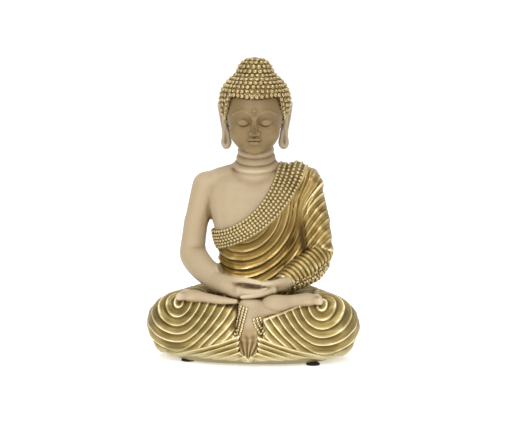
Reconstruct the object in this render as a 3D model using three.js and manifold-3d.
// A seated meditating figure in cast, painted resin: crossed legs on a flat base, both hands in the lap,
// a robe over the left shoulder with a beaded border, and a curled hair cap with a topknot.
// Millimetres, +Z up, the figure faces -Y, its own right side is on -X. The origin is on the table,
// under the middle of the figure.
import * as THREE from "three";
import { ConvexGeometry } from "three/addons/geometries/ConvexGeometry.js";
import { LoftGeometry } from "three/addons/geometries/LoftGeometry.js";
import { mergeVertices } from "three/addons/utils/BufferGeometryUtils.js";
import Module from "manifold-3d";

// ---- driving dimensions ----
const HEIGHT = 280; // overall, pads included
const HALF_WIDTH = 100; // centre line to the outside of a knee
const HALF_DEPTH = 60; // centre line to the front hem and to the hips
const GAP = 0.35; // clearance between neighbouring pieces
const ROBE = 1.8; // how far the robe stands out from the body
const BORDER = 2.6; // how far the beaded border stands out from the body
const WALL = 9; // thickness of the casting round its hollow
const RIDGE = 1.1; // how far a fold, a bead row or a row of curls stands out from its piece

// Segments round a ball: for the lap and the head, for limbs, and for small pieces.
const FINE = 14;
const MEDIUM = 10;
const COARSE = 8;
const HIDDEN = 6; // inside the casting

// ---- the base ----
const PAD = { radius: 6.5, thick: 2 };
const BASE = { low: PAD.thick, high: 9, halfX: 77, frontY: -51, backY: 50, inset: 2, flare: 3 };
const PLUG = { radius: 17, thick: 4, y: 14 };
const DRAIN = { radius: 14, height: 30 }; // the way into the hollow, closed by the plug
const LEG_UNDERSIDE = 5;

// ---- landmarks on the figure's right side; the left side mirrors them ----
const KNEE_RADIUS = 35.2;
const KNEE = ball([KNEE_RADIUS + RIDGE - HALF_WIDTH, -10, 31.5], [KNEE_RADIUS, 34.5, 29.5]);
const HIP = ball([-26, 27, 36], [36, 32, 32]);
const SHIN = ball([-24, -30, 29], [28, 27, 26]);
const TRAPEZIUS = ball([-13, 21, 169], [12, 14, 11.5]);
const SHOULDER = ball([-47.5, 22, 156], [14, 14.5, 14.5]);
const BICEPS = ball([-56, 19.5, 126], [11.6, 12.5, 14]);
const ELBOW = ball([-60.2, 20, 96], [10.9, 11.5, 11]);
const FOREARM = ball([-49.5, 5, 85], [10.5, 11, 11.8]);
const WRIST = ball([-30, -17, 72.5], [8.8, 8, 8]);

// ---- trunk, neck and head on the centre line ----
// Torso sections, bottom to top: height, centre y, half width, half depth.
const TORSO = [
  [36, 22, 37, 29],
  [60, 20, 35, 26],
  [84, 20, 33.5, 23.5],
  [102, 19, 35.5, 24.5],
  [120, 18.5, 40, 26.5],
  [138, 19, 44.5, 27],
  [152, 20, 46, 25.5],
  [162, 21, 43, 22.5],
  [169, 22, 33, 19],
  [175, 22, 21, 16],
];
// Neck sections, the same way.
const NECK = [
  [168, 20, 21.7, 17.5],
  [174, 18, 17.8, 16.2],
  [182, 16, 16.2, 15.7],
  [192, 14, 15.8, 16.2],
  [204, 13, 16.2, 16.2],
];
const SQUARE = { torso: 2.3, base: 2.4 }; // superellipse exponents
const CROWN = ball([0, 11, 237], [28, 31, 24.5]);
const CHEEKS = ball([0, 0, 222], [25.5, 25.5, 20]);
const JAW = ball([0, -1, 208], [20.5, 22, 17.5]);
const HAIR = ball([0, 13, 238], [32, 35.4, 26.5]);
const NAPE = ball([0, 20, 222], [29.5, 27, 19]);
const HAIR_OPENING = [ball([0, -22, 220], [23.5, 22, 24]), ball([0, -22, 190], [25, 22, 8])];
const HAIR_END = 206; // the lowest hair, at the nape
const EAR = { y: 12, top: 236.5, low: 192.5 };
const KNOT = { y: 14, rows: 3, sections: [[22, 252], [21.5, 257], [20, 263], [15.8, 271], [9, 277]] };

// The border runs between two arcs drawn on the front view: centre x, z and radius of each.
const BORDER_INNER = { x: -51, z: 188, radius: 73.3 };
const BORDER_OUTER = { x: -62, z: 213, radius: 115 };

// ---- folds and rows ----
const KNEE_SWIRL = { pole: [-0.1, -0.62, 0.78], first: 16, step: 20, rows: 4, half: 1.8 }; // degrees, mm
const CHEST_FOLDS = { radii: [100, 114], half: 1.2 };
const BEAD_ROWS = { count: 3, half: 1.6 };
const SLEEVE_FOLDS = { tilt: 37, first: -16, step: 14, count: 3, half: 1.5 };
const SLEEVE_RINGS = { from: 0.14, to: 0.84, count: 5, half: 1.5 };
const CURL_ROWS = { first: 44, step: 17, count: 4, half: 2.4 };
const PLEATS = { count: 4, near: [9, -54], far: [74, -31], middle: [40, -50], rise: 5.8, low: 8.5 };

// ---- how shapes are made ----
const wasm = await Module();
wasm.setup();

function ball(centre, radii) {
  return { centre, radii };
}

const mirrored = ({ centre: [x, y, z], radii }) => ball([-x, y, z], radii);
const sided = (side, balls) => (side < 0 ? balls : balls.map(mirrored));
const mix = (a, b, t) => a.map((v, k) => v + (b[k] - v) * t);
const between = (a, b, t) => ball(mix(a.centre, b.centre, t), mix(a.radii, b.radii, t));

// A closed three.js geometry as a solid that can be joined and cut.
function solidOf(geometry) {
  const bare = new THREE.BufferGeometry();
  const source = geometry.index ? geometry.toNonIndexed() : geometry;
  bare.setAttribute("position", source.getAttribute("position"));
  const merged = mergeVertices(bare, 1e-3);
  const vertProperties = new Float32Array(merged.attributes.position.array);
  const triVerts = new Uint32Array(merged.index.array);
  return new wasm.Manifold(new wasm.Mesh({ numProp: 3, vertProperties, triVerts }));
}

const join = (solids) => solids.reduce((all, next) => all.add(next));
const cut = (solid, ...tools) => tools.reduce((left, tool) => left.subtract(tool), solid);

// The points of a faceted ellipsoid.
function ballPoints({ centre, radii }, grow, segments) {
  const geometry = new THREE.SphereGeometry(1, segments, Math.round(segments * 0.6));
  geometry.rotateX(Math.PI / 2);
  geometry.scale(...radii.map((r) => r + grow));
  geometry.translate(...centre);
  const position = geometry.getAttribute("position");
  return Array.from({ length: position.count }, (_, i) =>
    new THREE.Vector3().fromBufferAttribute(position, i));
}

// One smooth body stretched round several balls.
const around = (balls, grow = 0, segments = MEDIUM) =>
  solidOf(new ConvexGeometry(balls.flatMap((one) => ballPoints(one, grow, segments))));

// Bodies stretched from each ball to the next, joined.
const chain = (balls, grow = 0, segments = MEDIUM) =>
  join(balls.slice(1).map((next, i) => around([balls[i], next], grow, segments)));

// A raised hoop with a sharp crest on a ball, at an angle from the pole direction.
function hoop({ centre, radii }, pole, degrees, half, grow, segments) {
  const size = Math.min(...radii);
  const wide = (half + grow) / size;
  const crest = (RIDGE + grow) / size;
  const angle = THREE.MathUtils.degToRad(degrees);
  const at = (along, out) => new THREE.Vector2(
    Math.sin(angle) * (1 + out) + Math.cos(angle) * along,
    Math.cos(angle) * (1 + out) - Math.sin(angle) * along,
  );
  const profile = [at(wide, -wide), at(0, crest), at(-wide, -wide), at(wide, -wide)];
  const geometry = new THREE.LatheGeometry(profile, segments);
  const to = new THREE.Vector3(...pole).divide(new THREE.Vector3(...radii)).normalize();
  geometry.applyQuaternion(new THREE.Quaternion().setFromUnitVectors(new THREE.Vector3(0, 1, 0), to));
  geometry.scale(...radii);
  geometry.translate(...centre);
  return solidOf(geometry);
}

// A closed ring of points on a superellipse at one height.
function ring([z, y, halfX, halfY], square, count) {
  return Array.from({ length: count }, (_, i) => {
    const angle = (i / count) * 2 * Math.PI;
    const bend = (v) => Math.sign(v) * Math.abs(v) ** (2 / square);
    return new THREE.Vector3(halfX * bend(Math.cos(angle)), y + halfY * bend(Math.sin(angle)), z);
  });
}

const loft = (rings) => solidOf(new LoftGeometry(rings, { capStart: true, capEnd: true }));

// A body through level sections, smoothed in between.
function stack(sections, grow, { square = 2, count = 18, steps = 6 } = {}) {
  const shapes = sections.map(([, ...shape]) => new THREE.Vector3(...shape));
  const outline = new THREE.CatmullRomCurve3(shapes, false, "centripetal");
  const heights = sections.map(([z]) => z);
  const last = heights.length - 1;
  const rings = Array.from({ length: steps + 1 }, (_, i) => {
    const at = (i / steps) * last;
    const k = Math.min(Math.floor(at), last - 1);
    const z = THREE.MathUtils.lerp(heights[k], heights[k + 1], at - k);
    const end = i === 0 ? -grow : i === steps ? grow : 0;
    const { x: y, y: halfX, z: halfY } = outline.getPoint(i / steps);
    return ring([z + end, y, halfX + grow, halfY + grow], square, count);
  });
  return loft(rings);
}

function box([x0, y0, z0], [x1, y1, z1]) {
  const geometry = new THREE.BoxGeometry(x1 - x0, y1 - y0, z1 - z0);
  geometry.translate((x0 + x1) / 2, (y0 + y1) / 2, (z0 + z1) / 2);
  return solidOf(geometry);
}

function cylinder(radius, [x, y, z], length, segments = 32) {
  const geometry = new THREE.CylinderGeometry(radius, radius, length, segments);
  geometry.rotateX(Math.PI / 2);
  geometry.translate(x, y, z + length / 2);
  return solidOf(geometry);
}

// A round bar through the figure from front to back, as an arc of the border sees it.
function disc({ x, z, radius }, grow = 0) {
  const geometry = new THREE.CylinderGeometry(radius + grow, radius + grow, 4 * HALF_DEPTH, 28);
  geometry.translate(x, 0, z);
  return solidOf(geometry);
}

// A tube wall through the figure from front to back.
const arcBand = (arc, half) => disc(arc, half).subtract(disc(arc, -half));

// A thin slab across an arm, leaning by an angle about the front-to-back axis.
function slab([x, z], degrees, half) {
  const geometry = new THREE.BoxGeometry(HALF_WIDTH, 2 * HALF_DEPTH, 2 * half);
  geometry.rotateY(THREE.MathUtils.degToRad(degrees));
  geometry.translate(x, SHOULDER.centre[1], z);
  return solidOf(geometry);
}

// ---- the pieces: each form grows by a clearance, so that a neighbour can be cut clear of it ----
const torsoForm = (grow) => stack(TORSO, grow, { square: SQUARE.torso, steps: 9, count: 18 });

const shoulderForm = (side, grow) => around(sided(side, [TRAPEZIUS, SHOULDER]), grow);

function swirl(side, grow) {
  const { pole: [x, y, z], first, step, rows, half } = KNEE_SWIRL;
  const [knee] = sided(side, [KNEE]);
  return Array.from({ length: rows }, (_, i) =>
    hoop(knee, [-side * x, y, z], first + i * step, half, grow, FINE));
}

function legForm(side, grow) {
  const thigh = around(sided(side, [HIP, KNEE]), grow, FINE);
  const shin = around(sided(side, [KNEE, SHIN]), grow, FINE);
  const edges = [GAP / 2 - grow, 2 * HALF_WIDTH].map((x) => side * x).sort((a, b) => a - b);
  const half = box(
    [edges[0], -2 * HALF_DEPTH, LEG_UNDERSIDE - grow],
    [edges[1], 2 * HALF_DEPTH, HEIGHT],
  );
  return join([thigh, shin, ...swirl(side, grow)]).intersect(half);
}

function baseForm(grow) {
  const middle = (BASE.frontY + BASE.backY) / 2;
  const halfY = (BASE.backY - BASE.frontY) / 2;
  const level = (z, out) => ring([z, middle, BASE.halfX + out, halfY + out], SQUARE.base, 32);
  return loft([
    level(BASE.low - grow, grow - BASE.inset),
    level(BASE.low + BASE.inset, grow),
    level(BASE.high + grow, grow + BASE.flare),
  ]);
}

// Where a pad is stuck: its middle on the underside of the base.
const PAD_PLACES = {
  front_right: [-58, -30],
  front_left: [58, -36],
  back_right: [-50, 34],
  back_left: [50, 34],
};

const padForm = ([x, y]) => (grow) =>
  cylinder(PAD.radius + grow, [x, y, -grow], PAD.thick - GAP + 2 * grow, 20);

const plugForm = (grow) =>
  cylinder(PLUG.radius + grow, [0, PLUG.y, BASE.low - grow], PLUG.thick + 2 * grow, 20);

// The hollow of the casting, a wall's thickness inside the trunk and the legs, open through the base.
function cavity() {
  const legs = [-1, 1].map((side) => around(sided(side, [HIP, KNEE]), -WALL, HIDDEN));
  const trunk = stack(TORSO, -WALL, { square: SQUARE.torso, steps: 5, count: 2 * HIDDEN });
  return join([...legs, trunk, cylinder(DRAIN.radius, [0, PLUG.y, 0], DRAIN.height, 16)]);
}

// The flat stepped pleats that fan out from the middle of the front hem towards one knee.
function pleatForm(side, grow) {
  const { count, near, far, middle, rise, low } = PLEATS;
  const pleats = Array.from({ length: count }, (_, i) => {
    const lift = i * rise;
    const back = i * 0.5;
    return around(sided(side, [
      ball([-near[0], near[1] + back, low + lift], [2, 3.6, 2.6]),
      ball([-middle[0], middle[1] + back + 1, low + lift * 0.62], [2, 4, 1.7]),
      ball([-far[0], far[1] + back, low + lift * 0.22], [2, 4.5, 1.5]),
      ball([-middle[0], -36, low + lift * 0.5], [14, 4, 3]),
    ]), grow, COARSE);
  });
  return join(pleats);
}

const centrePanelForm = (grow) =>
  around([
    ball([0, -50, 45], [6.5, 4.5, 4]),
    ball([0, -53, 26], [7.5, 4.5, 8]),
    ball([0, -55, 7.5], [6, 4.5, 2.5]),
    ball([0, -35, 24], [6, 4, 8]),
  ], grow, COARSE);

// A narrow beaded strip down the front, where a robe edge comes out from under the feet.
const stripForm = (side, top, low) => (grow) =>
  around([
    ball([side * 8, -52.5, top], [3.6, 3, 2]),
    ball([side * 12, -57, low], [4, 3, 2]),
    ball([side * 11, -46, low + 4], [3, 3, 2]),
  ], grow, COARSE);

// The sole of a foot turned up on the opposite thigh: heel near the middle, toes towards the knee.
function footForm(side, { heel, lift }, grow) {
  const sole = [
    ball([side * 13, -43, 54.5 + lift], [heel, heel, heel - 1.5]),
    ball([side * 31, -38, 57 + lift], [9, 9.5, 6]),
    ball([side * 52, -28, 60.5 + lift], [8.5, 10, 4.6]),
    ball([side * 64, -21, 62 + lift], [5.5, 9, 3.2]),
  ];
  return chain(sole, grow, COARSE);
}

const ankleForm = (grow) =>
  around([ball([2, -48, 53], [9, 5.5, 6]), ball([-2, -46, 47], [8, 6, 5])], grow, COARSE);

function handForm(side, palm, tips, grow) {
  const [wrist] = sided(side, [WRIST]);
  const heel = ball([side * 23, -27, 69], [9, 8, 6.5]);
  const knuckles = ball([side * 11, -36, palm], [10, 9.5, 5]);
  return chain([wrist, heel, knuckles, ball([-side * 9, -41, tips], [6, 7, 3.5])], grow, COARSE);
}

const thumbForm = (side, grow) =>
  chain([
    ball([side * 24, -29, 74], [4, 4, 4]),
    ball([side * 13, -39, 77.5], [3.4, 3.4, 3.2]),
    ball([side * 3.2, -41, 78.5], [2.6, 2.8, 2.6]),
  ], grow, COARSE);

const upperArmForm = (side, grow) => chain(sided(side, [SHOULDER, BICEPS, ELBOW]), grow);
const foreArmForm = (side, grow) => chain(sided(side, [ELBOW, FOREARM, WRIST]), grow);

// The upper sleeve with its folds slanting down and out across the arm.
function upperSleeveForm(grow) {
  const { tilt, first, step, count, half } = SLEEVE_FOLDS;
  const [{ centre: [x, , z] }] = sided(1, [BICEPS]);
  const slabs = Array.from({ length: count }, (_, i) =>
    slab([x, z + first + i * step], tilt, half + grow));
  const folds = upperArmForm(1, ROBE + RIDGE + grow).intersect(join(slabs));
  return join([upperArmForm(1, ROBE + grow), folds]);
}

// The forearm sleeve, gathered in rings.
function foreSleeveForm(grow) {
  const { from, to, count, half } = SLEEVE_RINGS;
  const [elbow, forearm, wrist] = sided(1, [ELBOW, FOREARM, WRIST]);
  const axis = mix(elbow.centre, wrist.centre, 1).map((v, k) => v - elbow.centre[k]);
  const rings = Array.from({ length: count }, (_, i) => {
    const t = (from + ((to - from) * i) / (count - 1)) * 2;
    const at = t < 1 ? between(elbow, forearm, t) : between(forearm, wrist, t - 1);
    const sleeve = ball(at.centre, at.radii.map((r) => r + ROBE));
    return hoop(sleeve, axis, 90, half, grow, COARSE);
  });
  return join([foreArmForm(1, ROBE + grow), ...rings]);
}

// The loose hem of the sleeve hanging under the left forearm.
const sleeveHemForm = (grow) =>
  around([
    ball([64, 17, 84], [6, 9, 5]),
    ball([57, 3, 75], [6, 8, 4]),
    ball([40, -12, 68], [4, 6, 4]),
    ball([44, -8, 78], [5, 6, 5]),
  ], grow, COARSE);

// The last wrap of the robe, folded up and over the left shoulder.
const shoulderFoldForm = (grow) =>
  around([
    ball([36, 21, 174], [11, 17, 5]),
    ball([53, 22, 162.5], [10.5, 16.5, 11.5]),
    ball([50, 30, 140], [10, 12, 10]),
  ], grow);

const neckForm = (grow) => stack(NECK, grow);

const headForm = (grow) =>
  join([around([CROWN, CHEEKS], grow, FINE), around([CHEEKS, JAW], grow, FINE)]);

// Hair covers the crown, the temples and the nape in rows of curls, and leaves the face free.
function hairForm(grow) {
  const { first, step, count, half } = CURL_ROWS;
  const rows = Array.from({ length: count }, (_, i) =>
    hoop(HAIR, [0, 0, 1], first + i * step, half, grow, FINE));
  const opening = HAIR_OPENING.map(({ centre, radii }) => ball(centre, radii.map((r) => r - grow)));
  const below = box([-HALF_WIDTH, -HALF_DEPTH, 0], [HALF_WIDTH, HALF_DEPTH, HAIR_END - grow]);
  return cut(join([around([HAIR, NAPE], grow, FINE), ...rows]), around(opening, 0, FINE), below);
}

// The topknot: rows of curls stacked on each other and closed by a round top.
function knotForm(grow) {
  const { y, rows, sections } = KNOT;
  const [[widest, low]] = sections;
  const curve = new THREE.CatmullRomCurve3(sections.map(([r, z]) => new THREE.Vector3(r, z, 0)));
  const steps = 3 * rows;
  const bumps = Array.from({ length: steps + 1 }, (_, i) => {
    const { x: radius, y: z } = curve.getPoint(i / steps);
    return new THREE.Vector2(radius + grow + (i % 3 ? RIDGE : 0), z);
  });
  const profile = [
    new THREE.Vector2(0, low - grow),
    new THREE.Vector2(widest + grow, low - grow),
    ...bumps.slice(1),
    new THREE.Vector2(0, HEIGHT + grow),
  ];
  const geometry = new THREE.LatheGeometry(profile, 18);
  geometry.rotateX(Math.PI / 2);
  geometry.translate(0, y, 0);
  return solidOf(geometry);
}

function earForm(side, grow) {
  const rim = [
    ball([side * 32, EAR.y + 3, EAR.top - 5], [3, 6.5, 4.5]),
    ball([side * 30.2, EAR.y, EAR.top - 16], [2.7, 5.2, 4]),
    ball([side * 26.6, EAR.y - 2, EAR.low + 13], [2.8, 3.8, 4]),
    ball([side * 26, EAR.y - 3, EAR.low + 5], [4.6, 4.2, 4.8]),
  ];
  return chain(rim, grow, COARSE);
}

// Robe that fills the space between the trunk and the sleeve.
const sideDrapeForm = (grow) =>
  chain([
    ball([38, 21, 146], [14, 16, 12]),
    ball([45, 17, 108], [11.5, 14, 10]),
    ball([38, 8, 88], [9, 12, 7]),
  ], grow);

const upperRobe = (grow) => join([torsoForm(grow), shoulderForm(1, grow), sideDrapeForm(grow)]);

// The robe round the trunk, its folds curving about the middle of the border's inner arc.
function robeForm(grow) {
  const { x, z } = BORDER_INNER;
  const bands = CHEST_FOLDS.radii.map((radius) => arcBand({ x, z, radius }, CHEST_FOLDS.half + grow));
  const folds = upperRobe(ROBE + RIDGE + grow).intersect(join(bands));
  return cut(join([upperRobe(ROBE + grow), folds]), disc(BORDER_OUTER, GAP / 2 - grow));
}

const trimmed = (solid, grow) =>
  solid.intersect(disc(BORDER_OUTER, grow - GAP / 2)).subtract(disc(BORDER_INNER, -grow));

// The border with its bead rows spread evenly between its two edges.
function borderForm(grow) {
  const body = (out) => join([torsoForm(out), shoulderForm(1, out)]);
  const rows = Array.from({ length: BEAD_ROWS.count }, (_, i) => {
    const t = (i + 0.5) / BEAD_ROWS.count;
    const [x, z, radius] = ["x", "z", "radius"].map((key) =>
      THREE.MathUtils.lerp(BORDER_INNER[key], BORDER_OUTER[key], t));
    return arcBand({ x, z, radius }, BEAD_ROWS.half + grow);
  });
  const beads = body(BORDER + RIDGE + grow).intersect(join(rows));
  return trimmed(join([body(BORDER + grow), beads]), grow);
}

const bodyForm = (grow) => join([torsoForm(grow), shoulderForm(-1, grow), shoulderForm(1, grow)]);

// ---- the assembly: each piece is cut clear of the pieces listed before it ----
const FINISH = {
  skin: new THREE.MeshStandardMaterial({ color: 0xcbb48e, roughness: 0.5, metalness: 0 }),
  gold: new THREE.MeshStandardMaterial({ color: 0xb4975a, roughness: 0.35, metalness: 0.8 }),
  beads: new THREE.MeshStandardMaterial({ color: 0xc2ad72, roughness: 0.35, metalness: 0.8 }),
  resin: new THREE.MeshStandardMaterial({ color: 0xcfc6a4, roughness: 0.6, metalness: 0 }),
  pad: new THREE.MeshStandardMaterial({ color: 0x191817, roughness: 0.9, metalness: 0 }),
};

const hollow = cavity();
const PIECES = [
  ...Object.entries(PAD_PLACES).map(([place, at]) => [`pad_${place}`, "pad", padForm(at)]),
  ["base_plug", "resin", plugForm],
  ["base_rim", "resin", baseForm, hollow],
  ["hand_right", "skin", (g) => handForm(-1, 71, 69.5, g)],
  ["thumb_right", "skin", (g) => thumbForm(-1, g)],
  ["hand_left", "skin", (g) => handForm(1, 66, 62.5, g)],
  ["thumb_left", "skin", (g) => thumbForm(1, g)],
  ["foot_right", "skin", (g) => footForm(1, { heel: 9.5, lift: -0.5 }, g)],
  ["foot_left", "skin", (g) => footForm(-1, { heel: 7, lift: 0 }, g)],
  ["ankle", "skin", ankleForm],
  ["strip_right", "beads", stripForm(-1, 54, 31)],
  ["strip_left", "beads", stripForm(1, 43, 31)],
  ["centre_panel", "gold", centrePanelForm],
  ["pleats_right", "gold", (g) => pleatForm(-1, g)],
  ["pleats_left", "gold", (g) => pleatForm(1, g)],
  ["forearm_right", "skin", (g) => foreArmForm(-1, g)],
  ["upper_arm_right", "skin", (g) => upperArmForm(-1, g)],
  ["sleeve_hem", "beads", sleeveHemForm],
  ["sleeve_forearm", "gold", foreSleeveForm],
  ["shoulder_fold", "gold", shoulderFoldForm],
  ["sleeve_upper", "gold", upperSleeveForm],
  ["head", "skin", headForm],
  ["topknot", "beads", knotForm],
  ["ear_right", "skin", (g) => earForm(-1, g)],
  ["ear_left", "skin", (g) => earForm(1, g)],
  ["hair_cap", "beads", hairForm],
  ["neck", "skin", neckForm],
  ["torso", "skin", bodyForm, hollow],
  ["border", "beads", borderForm],
  ["robe_upper", "gold", robeForm],
  ["robe_leg_right", "gold", (g) => legForm(-1, g), hollow],
  ["robe_leg_left", "gold", (g) => legForm(1, g), hollow],
];

// The largest connected body of a solid: cutting can leave loose slivers beside it.
const largest = (solid) => solid.decompose().reduce((a, b) => (b.volume() > a.volume() ? b : a));

const boxesMeet = (a, b) => [0, 1, 2].every((k) => a.min[k] <= b.max[k] && b.min[k] <= a.max[k]);

function meshOf(name, solid, material) {
  const { vertProperties, triVerts } = solid.getMesh();
  const geometry = new THREE.BufferGeometry();
  geometry.setAttribute("position", new THREE.BufferAttribute(vertProperties, 3));
  geometry.setIndex(new THREE.BufferAttribute(triVerts, 1));
  geometry.computeVertexNormals();
  const mesh = new THREE.Mesh(geometry, material);
  mesh.name = name;
  return mesh;
}

const figure = new THREE.Group();
const placed = []; // the earlier pieces, each grown by the gap
for (const [name, slot, form, inside] of PIECES) {
  let solid = form(0);
  const reach = solid.boundingBox();
  const near = placed.filter((earlier) => boxesMeet(earlier.boundingBox(), reach));
  solid = cut(solid, ...near);
  if (inside) solid = solid.subtract(inside);
  figure.add(meshOf(name, largest(solid), FINISH[slot]));
  placed.push(form(GAP));
}

// The origin goes on the table, under the middle of the figure.
const { min, max } = new THREE.Box3().setFromObject(figure);
for (const { geometry } of figure.children) {
  geometry.translate(-(min.x + max.x) / 2, -(min.y + max.y) / 2, -min.z);
}

export default figure;
